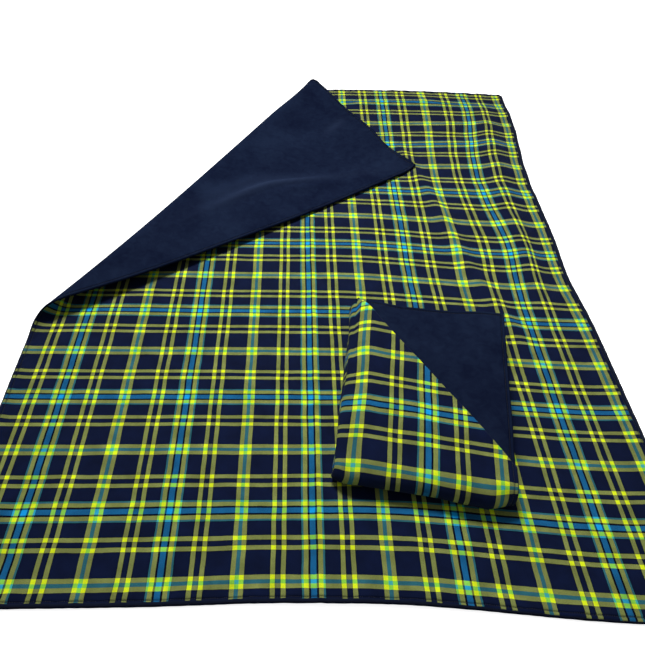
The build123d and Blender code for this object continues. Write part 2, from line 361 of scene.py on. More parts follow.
def ground_material():
    nodes = Nodes("pale_ground")
    place = nodes.add("ShaderNodeTexCoord").outputs["Object"]
    grain = nodes.add("ShaderNodeTexNoise", {"Vector": place, "Scale": 3.0}).outputs["Fac"]
    nodes.put(nodes.shader.inputs["Base Color"], nodes.mix(grain, FLOOR_DARK, FLOOR_LIGHT))
    nodes.shader.inputs["Roughness"].default_value = 0.9
    nodes.shader.inputs["Emission Color"].default_value = (1, 1, 1, 1)
    nodes.shader.inputs["Emission Strength"].default_value = 0.85
    return nodes.material


FLANNEL = plaid_flannel()
FLEECE = navy_fleece()
THREAD = navy_thread()


# ---------------------------------------------------------------- the flat cut
def smooth(t):
    """From 0 to 1 as t does, level at both ends."""
    t = np.clip(t, 0.0, 1.0)
    return t * t * (3 - 2 * t)


GRID = 0.011
SCORE_REACH = 0.03  # cells further than this from a scored line aren't cut
HEM_STEPS = [  # grid lines at a hem, closest at the edge and at the topstitch
    *(0, 0.0004, 0.0012, 0.0024, 0.004, 0.006, 0.0075),
    *(0.0085, 0.0095, 0.0105, 0.012, 0.015, 0.021, 0.03),
]


def hem_lines(half, step):
    """Grid lines from -half to half, close together at the hems."""
    near = np.array(HEM_STEPS)
    count = round((2 * half - 2 * near[-1]) / step)
    inner = np.linspace(-half + near[-1], half - near[-1], count + 1)
    return np.concatenate([-half + near[:-1], inner, half - near[:-1][::-1]])


def flat_grid(xs, ys):
    grid = bmesh.new()
    rows = [[grid.verts.new((x, y, 0)) for x in xs] for y in ys]
    for low, high in zip(rows[:-1], rows[1:]):
        for a, b, c, d in zip(low[:-1], low[1:], high[1:], high[:-1]):
            grid.faces.new((a, b, c, d))
    return grid


def score(grid, spot, normal, distances, inside=lambda middle: True):
    """Adds edges to the grid along lines across normal, at these distances from spot."""
    for distance in distances:
        place = Vector(spot) + Vector(normal) * distance
        cells = set()
        for face in grid.faces:
            middle = face.calc_center_median()
            if abs((middle - place).dot(Vector(normal))) < SCORE_REACH and inside(middle):
                cells.add(face)
                cells.update(face.edges)
                cells.update(face.verts)
        bmesh.ops.bisect_plane(
            grid, geom=list(cells), plane_co=place, plane_no=Vector(normal), dist=1e-5
        )


def edge_distance(x, y):
    return np.minimum(HALF_W - np.abs(x), HALF_L - np.abs(y))


def round_corner(x, y):
    """Pulls the square corners of the cut in to an arc."""
    dx = CORNER_R - (HALF_W - np.abs(x))
    dy = CORNER_R - (HALF_L - np.abs(y))
    inside = (dx > 0) & (dy > 0)
    length = np.hypot(dx, dy)
    scale = np.where(inside, np.maximum(dx, dy) / np.maximum(length, 1e-9), 1.0)
    x = np.where(inside, np.sign(x) * (HALF_W - CORNER_R + dx * scale), x)
    y = np.where(inside, np.sign(y) * (HALF_L - CORNER_R + dy * scale), y)
    return x, y


def bell(distance, width):
    return np.exp(-((distance / width) ** 2))


def rounding(edge):
    """The share of the cloth's thickness that it has at a distance from its edge."""
    return np.sqrt(np.clip(1 - (1 - np.clip(edge / RIM_R, 0, 1)) ** 2, 0, 1))


def face_top(edge):
    """The flannel's upper surface over the cloth's middle, with its puffed and stitched hem."""
    rim = rounding(edge)
    height = INTERFACE + (CLOTH_T / 2 - INTERFACE) * rim
    puff = 0.0008 * bell(edge - PUFF_AT, PUFF_WIDTH) * rim
    groove = 0.0016 * bell(edge - STITCH_INSET, 0.0016)
    return height + puff - groove + 0.0001


def between(edge):
    return INTERFACE - 0.0006 * bell(edge - STITCH_INSET, 0.0016)


def seam_gap(edge):
    """The fleece's upper surface, a hair below the flannel's lower one."""
    return between(edge) - 0.00005


def backing_bottom(edge):
    rim = rounding(edge)
    groove = 0.0012 * bell(edge - STITCH_INSET, 0.0020)
    puff = 0.0006 * bell(edge - PUFF_AT, PUFF_WIDTH) * rim
    return -MIDDLE * rim + groove - puff


# ---------------------------------------------------------------- how the open blanket lies
def from_fold(x, y):
    """How far inside the fold line a point of the flat cloth is."""
    return (x - FOLD_START[0]) * INWARD[0] + (y - FOLD_START[1]) * INWARD[1]


def along_fold(x, y):
    return (x - FOLD_START[0]) * ALONG[0] + (y - FOLD_START[1]) * ALONG[1]


def far_middle(x, y):
    """Where the far hem's middle and left are pushed away, from 0 to 1."""
    return smooth((y - 0.62) / 0.38) * (1 - 0.85 * smooth((x - 0.3) / 0.45))


def shift(x, y):
    """The cloth isn't quite square as it lies: its right side is pulled askew."""
    right = smooth((x - 0.05) / 0.62)
    near = 1 - smooth((y - 0.05) / 0.55)
    edge_dx = 0.008 + 0.040 * smooth((y - 0.35) / 0.5) - 0.012 * bell(y + 0.05, 0.13)
    bunched = 0.026 * bell(y - 0.04, 0.2) * bell(x - 0.54, 0.13)
    bunched = bunched + 0.016 * bell(y - 0.92, 0.2) * bell(x - 0.55, 0.15)
    dx = right * edge_dx + bunched * (1 - smooth((x - 0.60) / 0.11))
    dy = right * (-0.045 * near + 0.012 * (1 - near))
    dy = dy - 0.007 * (1 - smooth((y + 1.0) / 0.3)) * (1 - 0.6 * bell(x + 0.12, 0.15))
    dy = dy + (0.016 + 0.018 * (1 - smooth((x + 0.02) / 0.16))) * far_middle(x, y)
    return dx, dy


def ridge(x, y, start, end, height, width):
    """A soft ridge of the cloth between two points, dying away at both ends."""
    start, end = np.array(start), np.array(end)
    length = np.linalg.norm(end - start)
    way = (end - start) / length
    along = (x - start[0]) * way[0] + (y - start[1]) * way[1]
    across = (x - start[0]) * way[1] - (y - start[1]) * way[0]
    across = across + 0.012 * np.sin(along * 9 + start[0] * 7)
    ends = smooth(along / (0.25 * length)) * smooth((length - along) / (0.25 * length))
    return height * bell(across, width) * ends


def covered(x, y):
    """How far the flat cloth lies under the turned corner, which presses its ripples out."""
    along = along_fold(x, y)
    inward = from_fold(x, y)
    below_hem = (along * TIP_INWARD - inward * TIP_ALONG) / np.hypot(TIP_INWARD, TIP_ALONG)
    beyond = FOLD_LENGTH - TIP_ALONG
    left_of_hem = (FOLD_LENGTH - along) * TIP_INWARD - inward * beyond
    left_of_hem = left_of_hem / np.hypot(TIP_INWARD, beyond)
    return smooth(np.minimum(below_hem, left_of_hem) / 0.09)


RIDGES = [  # from, to, height and half width, in flat coordinates
    ((0.52, -0.42), (0.38, 0.28), 0.009, 0.024),
    ((0.40, 0.10), (0.30, 0.66), 0.008, 0.022),
    ((0.60, -0.30), (0.63, 0.98), 0.013, 0.045),
    ((0.14, 0.62), (0.55, 0.74), 0.005, 0.022),
    ((0.10, 0.86), (0.50, 0.93), 0.006, 0.020),
]


def free_lift(x, y):
    """Soft ridges and ripples of cloth that nothing lies on."""
    height = 0.0022 * bell(x + 0.012, 0.006)  # the pressed middle crease
    for start, end, top, width in RIDGES:
        height = height + ridge(x, y, start, end, top, width)
    far_right = smooth((x - 0.30) / 0.2) * smooth((y - 0.15) / 0.3)
    height = height + far_right * 0.0018 * (1 + np.sin(46 * y + 9 * x))
    height = height + 0.012 * far_middle(x, y) * smooth((x + 0.02) / 0.16)
    slow = np.sin(6.1 * x + 1.3) * np.sin(5.3 * y + 0.4) + 0.6 * np.sin(11 * x - 7 * y)
    height = height + 0.0011 * (slow + 1.6)
    # the topstitch puckers the hem
    edge = edge_distance(x, y)
    run = x - y
    pucker = np.sin(run * 190 + 3 * np.sin(run * 23))
    pucker = pucker + 0.7 * np.sin(run * 71 + 2 * np.sin(run * 13))
    return height + 0.0011 * (pucker + 1.7) * bell(edge - 0.010, 0.014)


def lift(x, y):
    """How high the cloth that lies flat stands over the ground."""
    return free_lift(x, y) * (1 - covered(x, y))


def fold_drift(along):
    """How far the real fold strays outward from the straight fold line."""
    along = np.maximum(along, -0.1)
    end = 0.008 * smooth((along - 1.30) / 0.2)
    return 0.036 * np.exp(-along / 0.25) - 0.014 * smooth(along / 1.2) - end


def fold_curve():
    """The fold's cross-section: travel, inward place, height and turn along the cloth."""
    travel = np.linspace(-CURVE_FROM, CURVE_TO, 1521)
    step = travel[1] - travel[0]
    tip_travel = LEFT_BEYOND * ALONG[0]
    bend = np.clip((travel + ROLL_LEAD) / ROLL_CLOTH, 0, 1)
    rolled = bend - np.sin(2 * math.pi * bend) / (2 * math.pi)
    flap_share = (travel - ROLL_CLOTH + ROLL_LEAD) / (tip_travel - ROLL_CLOTH + ROLL_LEAD)
    sagged = SAG_TURN * smooth(flap_share)
    # the roll's turn for which the tip comes to rest on the cloth below it
    low, high = math.pi, math.pi + 0.5
    for _ in range(40):
        turn = (low + high) / 2
        angle = turn * rolled - sagged
        inward = -np.cumsum(np.cos(angle)) * step
        height = np.cumsum(np.sin(angle)) * step
        inward += CURVE_FROM - np.interp(-CURVE_FROM, travel, inward)
        height += MIDDLE
        tip_height = np.interp(tip_travel, travel, height)
        if tip_height > CLOTH_T + 0.0008 + MIDDLE:
            low = turn
        else:
            high = turn
    return travel, inward, height, angle


TRAVEL, CURVE_IN, CURVE_UP, CURVE_TURN = fold_curve()


def crept(along, travel):
    """How far the turned corner has crept along the fold."""
    out = 0.035 * smooth((along - 1.25) / 0.3) * smooth((travel + 0.06) / 0.08)
    return out - 0.036 * bell(travel - 0.27, 0.13) * smooth((along - 1.0) / 0.35)


def lay_open(x, y, height):
    """A point of the flat blanket, height above the cloth's middle, as the cloth lies."""
    x, y = round_corner(x, y)
    dx, dy = shift(x, y)
    raised = lift(x, y)
    place = np.stack([x + dx, y + dy, np.zeros_like(x)], 1)
    # round the roll and back over, by the distance travelled past the fold line
    along = (place - FOLD_START) @ ALONG
    drift = fold_drift(along)
    inward = (place - FOLD_START) @ INWARD + drift
    travel = -inward
    drawn = smooth((travel - 0.3) / 0.25) * smooth((along - 0.8) / 0.45)
    along = along + crept(along, travel) - TIP_BACK * drawn
    curve_in = np.interp(travel, TRAVEL, CURVE_IN) - drift
    curve_up = np.interp(travel, TRAVEL, CURVE_UP)
    turn = np.interp(travel, TRAVEL, CURVE_TURN)
    ridges = smooth(travel / 0.1) * flap_ridges(along, travel)
    lying = inward >= CURVE_FROM
    on_flap = smooth((travel - 0.02) / 0.06)
    folded_in = curve_in + height * np.sin(turn) - 0.45 * TIP_BACK * drawn
    # the turned corner rests on the ridges of the cloth below it
    landing = FOLD_START + np.outer(along, ALONG) + np.outer(folded_in, INWARD)
    below = lift(landing[:, 0] - dx, landing[:, 1] - dy) + 0.0006
    folded_up = curve_up + height * np.cos(turn) + raised * (1 - on_flap)
    folded_up = folded_up + ridges + below * on_flap
    folded = landing + np.outer(folded_up, UP)
    flat = place.copy()
    flat[:, 2] = MIDDLE + height + raised
    return np.where(lying[:, None], flat, folded)


def crest_line(along):
    """How far past the fold the turned corner's main ridge runs."""
    past = along - 0.92
    return 0.245 + 0.72 * past + 0.36 * np.sqrt(past**2 + 0.0025)


def flap_ridges(along, travel):
    """The turned corner's own soft waves."""
    crest = crest_line(along)
    height = 0.010 * bell(travel - crest, 0.017) * bell(along - 0.90, 0.20)
    height = height + 0.005 * bell(travel - crest + 0.045, 0.02) * bell(along - 0.84, 0.12)
    height = height + 0.005 * bell(travel - crest - 0.055, 0.02) * bell(along - 0.98, 0.10)
    height = height + 0.005 * bell(travel - 0.25, 0.02) * bell(along - 1.36, 0.05)
    return height + 0.0016 * (1 + np.sin(7 * along + 11 * travel))


# ---------------------------------------------------------------- sheets of cloth
def add_mesh(name, vertices, polygons, material, uv=None, normals=None, values=None):
    """A smooth object; values holds a number for each vertex, by the attribute's name."""
    mesh = bpy.data.meshes.new(name)
    mesh.from_pydata(vertices.tolist(), [], polygons)
    for key, value in (values or {}).items():
        mesh.attributes.new(key, "FLOAT", "POINT").data.foreach_set("value", value)
    if uv is not None:
        layer = mesh.uv_layers.new(name="flat")
        corner_vertices = np.empty(len(mesh.loops), int)
        mesh.loops.foreach_get("vertex_index", corner_vertices)
        layer.data.foreach_set("uv", uv[corner_vertices].ravel())
    mesh.polygons.foreach_set("use_smooth", [True] * len(mesh.polygons))
    if normals is not None:
        mesh.normals_split_custom_set_from_vertices(normals.tolist())
    mesh.materials.append(material)
    piece = bpy.data.objects.new(name, mesh)
    bpy.context.collection.objects.link(piece)
    return piece


def sheet_pieces(flat, parts, edge_of, band_of, highlight_of, top, bottom, lay, flat_uv, material):
    """Closed sheets from a flat bmesh.

    lay(x, y, height) puts the flat cloth in its place, top and bottom give its surfaces by the
    distance to its hem, and parts names each piece with the test that a face's middle must pass.
    The pieces share their shading along the cuts.
    """
    flat.verts.ensure_lookup_table()
    flat.verts.index_update()
    points = np.array([v.co[:2] for v in flat.verts])
    faces = [[v.index for v in f.verts] for f in flat.faces]
    x, y = points.T
    edge = edge_of(x, y)
    upper = lay(x, y, top(edge))
    lower = lay(x, y, bottom(edge))
    count = len(points)
    places = np.concatenate([upper, lower])
    uv = np.concatenate([flat_uv(x, y)] * 2)

    def closed(chosen):
        used = dict.fromkeys((a, b) for f in chosen for a, b in zip(f, f[1:] + f[:1]))
        rim = [(a, b) for a, b in used if (b, a) not in used]
        walls = [[b, a, a + count, b + count] for a, b in rim]
        return chosen + [[i + count for i in reversed(f)] for f in chosen] + walls

    whole = bpy.data.meshes.new("whole")
    whole.from_pydata(places.tolist(), [], closed(faces))
    normals = np.empty(len(places) * 3)
    whole.vertex_normals.foreach_get("vector", normals)
    normals = normals.reshape(-1, 3)
    bpy.data.meshes.remove(whole)
    middles = np.array([points[f].mean(0) for f in faces])
    hem = np.minimum(edge, HEM_MARKED)
    # the crest mark is a painted highlight along the turned corner's ridges
    marks = {"hem": hem, "rolled": band_of(x, y) - hem, "crest": highlight_of(x, y)}
    marks = {key: np.concatenate([value, value]) for key, value in marks.items()}
    pieces = []
    for name, test in parts.items():
        inside = test(middles[:, 0], middles[:, 1])
        polygons = closed([f for f, keep in zip(faces, inside) if keep])
        kept = np.unique(np.concatenate([np.array(p) for p in polygons]))
        index = np.full(2 * count, -1)
        index[kept] = np.arange(len(kept))
        polygons = [[int(index[i]) for i in p] for p in polygons]
        values = {key: value[kept] for key, value in marks.items()}
        pieces.append(
            add_mesh(name, places[kept], polygons, material, uv[kept], normals[kept], values)
        )
    return pieces


def open_uv(x, y):
    return np.stack([x, y], 1)


def open_band(x, y):
    """How wide a band of fleece shows round the flannel's edge."""
    right = smooth((x - HALF_W + 0.05) / 0.03)
    near = smooth((-y - HALF_L + 0.05) / 0.03) * (1 - smooth((x - 0.05) / 0.5))
    return 0.0015 + 0.0095 * right * smooth((y + 0.9) / 0.5) + 0.0045 * near


def open_crest_highlight(x, y):
    """A painted highlight along the turned corner's ridges, where the fleece's pile would catch the
    light.
    """
    along = along_fold(x, y)
    travel = -from_fold(x, y) - fold_drift(along)
    past = travel - crest_line(along)
    highlight_streak = 0.8 * bell(past, 0.011) * bell(along - 0.90, 0.17)
    highlight_streak = highlight_streak + 0.35 * bell(past + 0.02, 0.05) * bell(along - 0.90, 0.25)
    return highlight_streak + 0.6 * bell(travel - 0.27, 0.014) * bell(along - 1.36, 0.05)


def folded_band(s, t):
    return np.full_like(s, 0.0020)


# the folded blanket has no painted highlight
def folded_crest_highlight(s, t):
    return np.zeros_like(s)


def backing_lay(x, y, height):
    """The fleece's hem stands out past the flannel's by a thin rim."""
    x = x + RIM * np.sign(x) * (HALF_W - np.abs(x) < 1e-6)
    y = y + RIM * np.sign(y) * (HALF_L - np.abs(y) < 1e-6)
    return lay_open(x, y, height)


def beyond_split(x, y):
    return from_fold(x, y) > SPLIT


def before_split(x, y):
    return from_fold(x, y) < SPLIT


open_flat = flat_grid(hem_lines(HALF_W, GRID), hem_lines(HALF_L, GRID))
# the grid is finer across the roll, and has an edge where the corner's own cloth begins
score(open_flat, FOLD_START, INWARD, np.linspace(-0.115, 0.03, 30))
score(open_flat, FOLD_START, INWARD, [SPLIT])
spread_face, corner_face = sheet_pieces(
    open_flat,
    {"spread_face_cloth": beyond_split, "corner_face_cloth": before_split},
    edge_distance,
    open_band,
    open_crest_highlight,
    face_top,
    between,
    lay_open,
    open_uv,
    FLANNEL,
)
spread_backing, corner_backing = sheet_pieces(
    open_flat,
    {"spread_backing_cloth": beyond_split, "corner_backing_cloth": before_split},
    edge_distance,
    open_band,
    open_crest_highlight,
    seam_gap,
    backing_bottom,
    backing_lay,
    open_uv,
    FLEECE,
)
for piece in (spread_face, spread_backing):
    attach(piece, "spread")
rise = UP + INWARD * 0.074
rise = rise / np.linalg.norm(rise)


def corner_blend(piece):
    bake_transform(piece)


for piece in (corner_face, corner_backing):
    corner_blend(piece)
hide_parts("spread_face", "spread_edge_seam")
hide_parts("spread_backing")
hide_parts("corner_face", "fold_face", "corner_edge_seam")
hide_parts("corner_backing", "fold_backing")


# ---------------------------------------------------------------- the folded blanket
BUNDLE_FOOT = np.array(joints["folded_open"]["pos_m"], float) * np.array([1, 1, 0])
ACROSS = np.array(joints["folded_open"]["axis"], float)
BACKWARD = np.cross(UP, ACROSS)
STACK_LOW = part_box("folded_outer_leaf")[0].z
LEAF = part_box("upper_inner_leaf")[1].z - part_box("upper_inner_leaf")[0].z
LAYER = LEAF / 4
STACK_TOP = 0.0805  # flat height of the sixteen layers, before the turned-under corner
TOP_RUN = 0.475  # from the front fold's axis to the hem at the back
LEAF_RUN = 0.455
INNER_RUN = 0.471
RIGHT = 0.180  # the right hem, from the middle of the bundle
LEFT = -0.184
STRETCH = 1.035  # of the plaid on the bundle
ROW_SHIFT = -0.0548  # of the plaid along the bundle
DIAGONAL_FROM = np.array([-0.171, 0.472])  # the cover's diagonal fold, seen from above
DIAGONAL_TO = np.array([0.174, 0.042])
COVER_RAISE = 0.0066  # how much the corner turned under lifts the cover
TUCK_SQUEEZE = 0.45  # the share of its length that the hidden, tucked cloth keeps
SKEW = 0.062  # how far the front runs askew, for each metre across
BEND_REACH = 0.03  # how far the front fold's own cloth reaches along the top and the foot

diagonal = (DIAGONAL_TO - DIAGONAL_FROM) / np.linalg.norm(DIAGONAL_TO - DIAGONAL_FROM)
KEPT_SIDE = np.array([diagonal[1], -diagonal[0]])
DIAGONAL_SPOT = DIAGONAL_FROM + KEPT_SIDE * 0.005
TUCK_R = COVER_RAISE / 2


def walk(start, heading, legs, step):
    """The travel, places and headings along legs, each a (length, turn) of a line or an arc."""
    travel, places, headings = [0.0], [np.array(start, float)], [heading]
    for length, turn in legs:
        count = max(2, round(length / step))
        for _ in range(count):
            middle = headings[-1] + turn / count / 2
            chord = length / count
            if turn:
                chord *= math.sin(abs(turn) / count / 2) / (abs(turn) / count / 2)
            travel.append(travel[-1] + length / count)
            places.append(places[-1] + chord * np.array([math.cos(middle), math.sin(middle)]))
            headings.append(headings[-1] + turn / count)
    return np.array(travel), np.array(places), np.array(headings)


# across the width: the cover leftwards, then the other three layers below it
FLAT_RUN = RIGHT - LEFT - 2 * LAYER
WIDTH_LEGS = [
    (FLAT_RUN, 0),
    (1.5 * LAYER * math.pi, -math.pi),
    (FLAT_RUN - LAYER / 2, 0),
    (0.5 * LAYER * math.pi, -math.pi),
    (FLAT_RUN - LAYER / 2, 0),
    (0.5 * LAYER * math.pi, math.pi),
    (FLAT_RUN, 0),
]
# along the length: the top forwards, round the front fold, back, round, forwards, round, back
LENGTH_LEGS = [
    (TOP_RUN, 0),
    (1.5 * LEAF * math.pi, math.pi),
    (LEAF_RUN, 0),
    (0.5 * LEAF * math.pi, math.pi),
    (LEAF_RUN, 0),
    (0.5 * LEAF * math.pi, -math.pi),
    (INNER_RUN, 0),
]
WIDE_S, WIDE_AT, WIDE_TURN = walk((RIGHT, LAYER / 2), math.pi, WIDTH_LEGS, 0.0005)
LONG_T, LONG_AT, LONG_TURN = walk((TOP_RUN, STACK_LOW + 3.5 * LEAF), math.pi, LENGTH_LEGS, 0.0015)
WIDE_ENDS = np.cumsum([0] + [leg[0] for leg in WIDTH_LEGS])
LONG_ENDS = np.cumsum([0] + [leg[0] for leg in LENGTH_LEGS])


def bundle_edge(s, t):
    """The distance to the hem, with s across the flat cloth and t along it."""
    return np.minimum(np.minimum(s, WIDE_ENDS[-1] - s), np.minimum(t, LONG_ENDS[-1] - t))


def kept_distance(u, v):
    """How far a point of the cover is from its diagonal fold, on the side that stays on top."""
    return (u - DIAGONAL_SPOT[0]) * KEPT_SIDE[0] + (v - DIAGONAL_SPOT[1]) * KEPT_SIDE[1]


def front_share(v):
    return 1 - smooth((v - 0.15) / 0.3)


def soften(u, v, z, level):
    """From the neatly folded block to the soft one; level runs from 0 at the foot to 1 on top.

    u runs to the right over the bundle, v to the back and z up.
    """
    side = smooth((-0.125 - u) / 0.062)
    right = smooth((u - 0.135) / 0.05)
    # the top rises to the back, falls to the front and the sides, and has soft hollows
    top = STACK_TOP + 0.0045 * smooth((v - 0.2) / 0.26) - 0.012 * (1 - smooth((v + 0.03) / 0.19))
    top = top - 0.014 * side - 0.003 * right
    top = top + 0.0030 * bell(u + 0.140, 0.032) * smooth((v - 0.02) / 0.1)
    top = top - 0.0022 * bell(u - 0.030 - 0.15 * (v - 0.13), 0.05) * smooth((v + 0.02) / 0.1)
    ripple = np.sin(23 * u + 9 * v + 1.0) * np.sin(17 * v - 8 * u + 0.4)
    top = top + 0.0011 * ripple
    block = STACK_LOW + 4 * LEAF
    risen = STACK_LOW + (z - STACK_LOW) * (top - STACK_LOW) / (block - STACK_LOW)
    # the front's corners draw back, and the left side bulges and waves
    corner = 0.42 * smooth((u - 0.12) / 0.065) + 0.25 * smooth((-0.155 - u) / 0.03)
    ahead = np.where(v < 0, v * (1 - corner), v)
    back_left = smooth((v - 0.36) / 0.11) * smooth((-0.05 - u) / 0.1)
    ahead = ahead + 0.012 * back_left * smooth(level * 4 - 3)
    ahead = ahead - SKEW * u * front_share(v)
    left = smooth((-0.1 - u) / 0.09)
    bulge = 0.006 * np.sin(math.pi * np.clip(level, 0, 1)) * left
    wave = 0.0022 * np.sin(19 * v + 6.5 * level + 0.5) * left
    outward = u - bulge - wave - 0.007 * smooth((0.25 - v) / 0.3) * left
    return outward, ahead, risen


def lay_folded(s, t, height):
    """A point of the flat cloth, height above its middle, as it lies in the folded blanket."""
    u = np.interp(s, WIDE_S, WIDE_AT[:, 0])
    n = np.interp(s, WIDE_S, WIDE_AT[:, 1])
    turn = np.interp(s, WIDE_S, WIDE_TURN)
    cover = s < WIDE_ENDS[1]
    flat_v = TOP_RUN - t
    # the cover rolls under along its diagonal fold, where q turns negative
    q = np.where(cover, kept_distance(u, flat_v), 1.0)
    raise_by = COVER_RAISE * (1 - smooth((q - 0.10) / 0.09)) * smooth((u - LEFT) / 0.03)
    angle = np.clip(-q / TUCK_R, 0, math.pi)
    under = np.maximum(-q - math.pi * TUCK_R, 0)
    rolled = q < 0
    tucked = -TUCK_R * np.sin(angle) + under * TUCK_SQUEEZE - height * np.sin(angle)
    moved = np.where(rolled, tucked, q)
    down = np.where(rolled, TUCK_R * (1 - np.cos(angle)), 0.0)
    # n grows downwards through the top leaf, so the cover's height counts against it
    up = np.where(cover, raise_by - down + height * np.where(rolled, np.cos(angle), 1.0), 0.0)
    u_cover = u + (moved - q) * KEPT_SIDE[0]
    v_cover = (moved - q) * KEPT_SIDE[1]
    u = np.where(cover, u_cover, u - height * np.sin(turn))
    n = np.where(cover, n - up, n + height * np.cos(turn))
    v = np.interp(t, LONG_T, LONG_AT[:, 0])
    z = np.interp(t, LONG_T, LONG_AT[:, 1])
    bend = np.interp(t, LONG_T, LONG_TURN)
    inward = n - LEAF / 2
    v = v - inward * np.sin(bend) + np.where(cover, v_cover, 0.0)
    z = z + inward * np.cos(bend)
    # the layer that shows past the cover lies a little askew
    second = (s > WIDE_ENDS[-2] - LAYER) & (u > 0)
    askew = 0.044 * (flat_v - 0.056) * smooth(u / RIGHT) * (flat_v > -0.2)
    u = u + np.where(second, askew, 0.0)
    back_slant = 0.011 * smooth((u - 0.03) / 0.17) - 0.012
    slanted = back_slant * smooth((v - 0.3) / 0.17) * (~cover)
    v = v + np.where(t < TOP_RUN, slanted, 0.0)
    level = (z - STACK_LOW) / (4 * LEAF)
    u, v, z = soften(u, v, z, level)
    return BUNDLE_FOOT + np.outer(u, ACROSS) + np.outer(v, BACKWARD) + np.outer(z, UP)


def folded_uv(s, t):
    """The place on the plaid that shows at a point of the folded cloth."""
    n = np.interp(s, WIDE_S, WIDE_AT[:, 1])
    u = np.interp(s, WIDE_S, WIDE_AT[:, 0])
    turned = np.interp(t, LONG_T, LONG_TURN) - math.pi
    run = t + (LEAF / 2 - n) * turned
    run = run - (0.078 - SKEW * front_share(TOP_RUN - t)) * u * (s < WIDE_ENDS[1] + 0.02)
    return np.stack([HALF_W - s / STRETCH, HALF_L - run / STRETCH + ROW_SHIFT], 1)


def leg_lines(ends, steps):
    """Grid lines along the folded cloth: each leg at its own step, close together at the hems."""
    lines = [ends[0] + np.array(HEM_STEPS), ends[-1] - np.array(HEM_STEPS)]
    for low, high, step in zip(ends[:-1], ends[1:], steps):
        low = max(low, HEM_STEPS[-1])
        high = min(high, ends[-1] - HEM_STEPS[-1])
        lines.append(np.linspace(low, high, max(2, round((high - low) / step)) + 1))
    lines = np.sort(np.concatenate(lines))
    return lines[np.concatenate([[True], np.diff(lines) > 1e-6])]


# each leg's step: fine on top and round the bends, coarse where it is hidden
WIDE_STEPS = [0.009, 0.002, 0.03, 0.0012, 0.03, 0.0012, 0.010]
LONG_STEPS = [0.009, 0.005, 0.03, 0.004, 0.02, 0.004, 0.02]
folded_flat = flat_grid(leg_lines(WIDE_ENDS, WIDE_STEPS), leg_lines(LONG_ENDS, LONG_STEPS))


def on_cover(middle):
    return middle.x < WIDE_ENDS[1] and middle.y < LONG_ENDS[1]


# in the flat cloth u runs against s, and v against t
score(
    folded_flat,
    (RIGHT - DIAGONAL_SPOT[0], TOP_RUN - DIAGONAL_SPOT[1], 0),
    (-KEPT_SIDE[0], -KEPT_SIDE[1], 0),
    -np.linspace(-0.2 * math.pi, 1.2 * math.pi, 15) * TUCK_R,
    on_cover,
)


def run_test(low, high):
    """Whether a point lies between two places along the cloth's length."""
    return lambda x, y: (y > low) & (y < high)


front_start = LONG_ENDS[1] - BEND_REACH
front_end = LONG_ENDS[2] + BEND_REACH
BUNDLE_PARTS = [  # name, where its cloth begins and ends along the length, and how it moves
    ("upper_cover", 0, front_start, "folded_upper"),
    ("folded_front", front_start, front_end, "bend"),
    ("folded_under", front_end, LONG_ENDS[5], "folded"),
    ("folded_hinge", LONG_ENDS[5], LONG_ENDS[6], "bend"),
    ("upper_inner", LONG_ENDS[6], LONG_ENDS[7], "folded_upper"),
]


def bundle_moves(piece, moves):
    """The bends are baked where they lie; the other pieces go with the body that moves them."""
    if moves == "bend":
        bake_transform(piece)
    else:
        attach(piece, moves)


for cloth, material, top, bottom in (
    ("face", FLANNEL, face_top, between),
    ("backing", FLEECE, seam_gap, backing_bottom),
):
    parts = {f"{name}_{cloth}_cloth": run_test(low, high) for name, low, high, _ in BUNDLE_PARTS}
    made = sheet_pieces(
        folded_flat,
        parts,
        bundle_edge,
        folded_band,
        folded_crest_highlight,
        top,
        bottom,
        lay_folded,
        folded_uv,
        material,
    )
    for piece, (name, low, high, moves) in zip(made, BUNDLE_PARTS):
        bundle_moves(piece, moves)
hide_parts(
    "upper_cover",
    "upper_tucked_corner",
    "upper_crease_leaf",
)
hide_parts("upper_hem_leaf")
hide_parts("upper_inner_leaf")
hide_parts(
    "folded_outer_leaf", "folded_inner_leaf", "folded_back_fold"
)
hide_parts("folded_front_outer")
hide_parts("folded_front_inner")

# ---------------------------------------------------------------- topstitching
STITCH_PITCH = 0.0042
STITCH_HALF = 0.0017
STITCH_THICK = 0.0005
STITCH_PROUD = 0.0002  # its middle stands this far over the cloth
STITCH_SUNK = 0.0006  # its ends lie this far below its middle


def hem_path(low_x, high_x, low_y, high_y):
    """Middles and directions of the stitches along a rectangle's four sides."""
    corners = [(low_x, low_y), (high_x, low_y), (high_x, high_y), (low_x, high_y)]
    middles, ways = [], []
    for start, end in zip(corners, corners[1:] + corners[:1]):
        start, end = np.array(start), np.array(end)
        length = np.linalg.norm(end - start)
        count = int(length / STITCH_PITCH)
        way = (end - start) / length
        steps = (np.arange(count) + 0.5) / count * length
        middles.append(start + steps[:, None] * way)
        ways.append(np.repeat(way[None, :], count, 0))
    return np.concatenate(middles), np.concatenate(ways)


def stitch_points():
    """One stitch's corners, as (along, aside, up): an end, two rings of four, the other end."""
    points = [(-STITCH_HALF, 0, -STITCH_SUNK)]
    for along in (-0.5 * STITCH_HALF, 0.5 * STITCH_HALF):
        points += [
            (along, STITCH_THICK, 0),
            (along, 0, STITCH_THICK),
            (along, -STITCH_THICK, 0),
            (along, 0, -STITCH_THICK),
        ]
    return points + [(STITCH_HALF, 0, -STITCH_SUNK)]


def stitch_faces():
    faces = []
    for k in range(4):
        j = (k + 1) % 4
        faces += [[0, 1 + j, 1 + k], [1 + k, 1 + j, 5 + j, 5 + k], [9, 5 + k, 5 + j]]
    return faces


